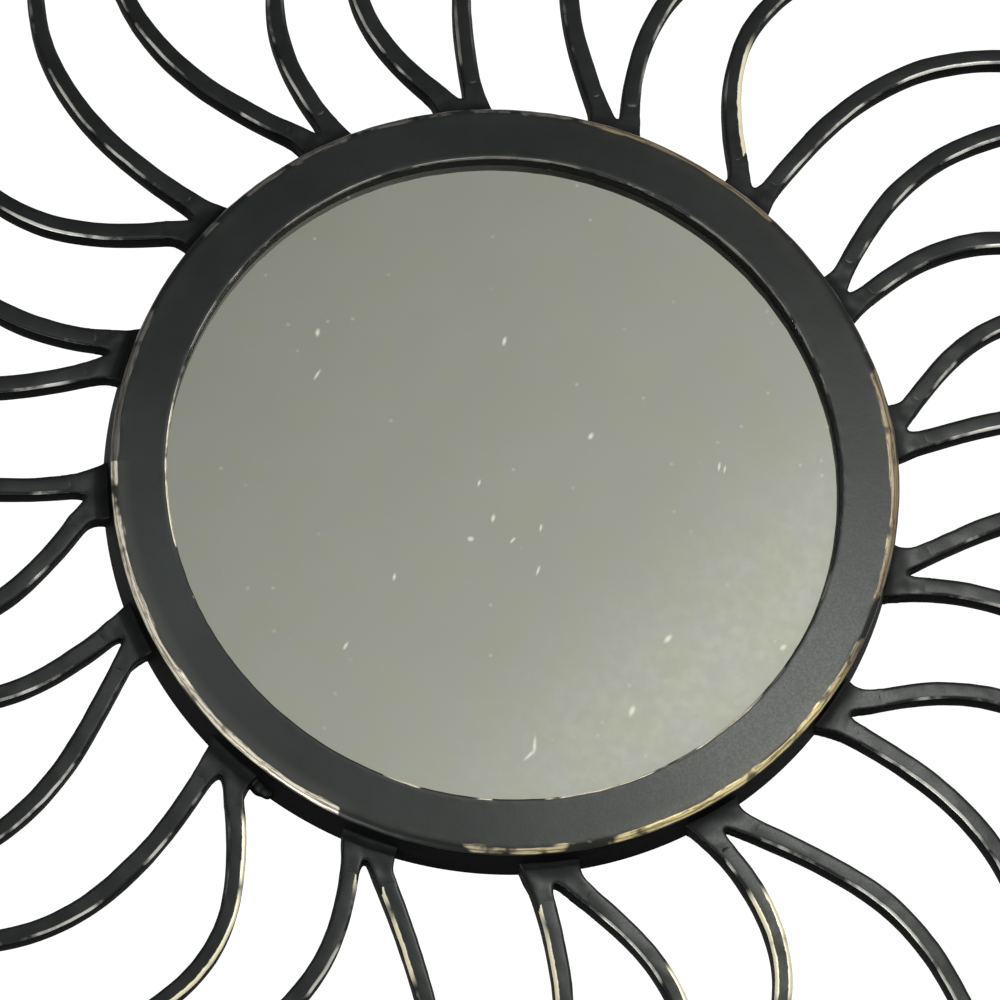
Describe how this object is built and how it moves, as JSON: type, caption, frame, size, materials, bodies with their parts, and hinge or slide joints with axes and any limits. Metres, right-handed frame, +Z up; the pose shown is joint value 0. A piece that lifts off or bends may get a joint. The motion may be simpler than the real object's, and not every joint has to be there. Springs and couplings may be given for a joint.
{
  "type": "wall mirror",
  "caption": "Round wall mirror set deep in a black iron ring, with long and short petals of bent bar that swirl clockwise all round like a sunburst.",
  "frame": {"origin": "centre of the flat back, where the mirror hangs against the wall", "axes": "+Y into the wall, -Y out of the glass towards the viewer, +Z up, +X to the right seen from the front"},
  "size_m": [0.5787, 0.02, 0.5787],
  "materials": {
    "ring_paint": "satin black paint over iron, rubbed to a pale gold along the edges",
    "bar_paint": "satin black paint over forged iron bar, with bright rubbed edges",
    "silvered_glass": "silvered glass with dust specks, a scratch and a hazy rim",
    "board": "plain dark hardboard"
  },
  "bodies": {
    "root": {"ring_frame": "ring_paint", "mirror_glass": "silvered_glass", "backing_board": "board", "petal_01": "bar_paint", "petal_02": "bar_paint", "petal_03": "bar_paint", "petal_04": "bar_paint", "petal_05": "bar_paint", "petal_06": "bar_paint", "petal_07": "bar_paint", "petal_08": "bar_paint", "petal_09": "bar_paint", "petal_10": "bar_paint", "petal_11": "bar_paint", "petal_12": "bar_paint", "petal_13": "bar_paint", "petal_14": "bar_paint", "petal_15": "bar_paint", "petal_16": "bar_paint", "foot_01": "bar_paint", "foot_02": "bar_paint", "foot_03": "bar_paint", "foot_04": "bar_paint", "foot_05": "bar_paint", "foot_06": "bar_paint", "foot_07": "bar_paint", "foot_08": "bar_paint", "foot_09": "bar_paint", "foot_10": "bar_paint", "foot_11": "bar_paint", "foot_12": "bar_paint", "foot_13": "bar_paint", "foot_14": "bar_paint", "foot_15": "bar_paint", "foot_16": "bar_paint"}
  },
  "joints": []
}
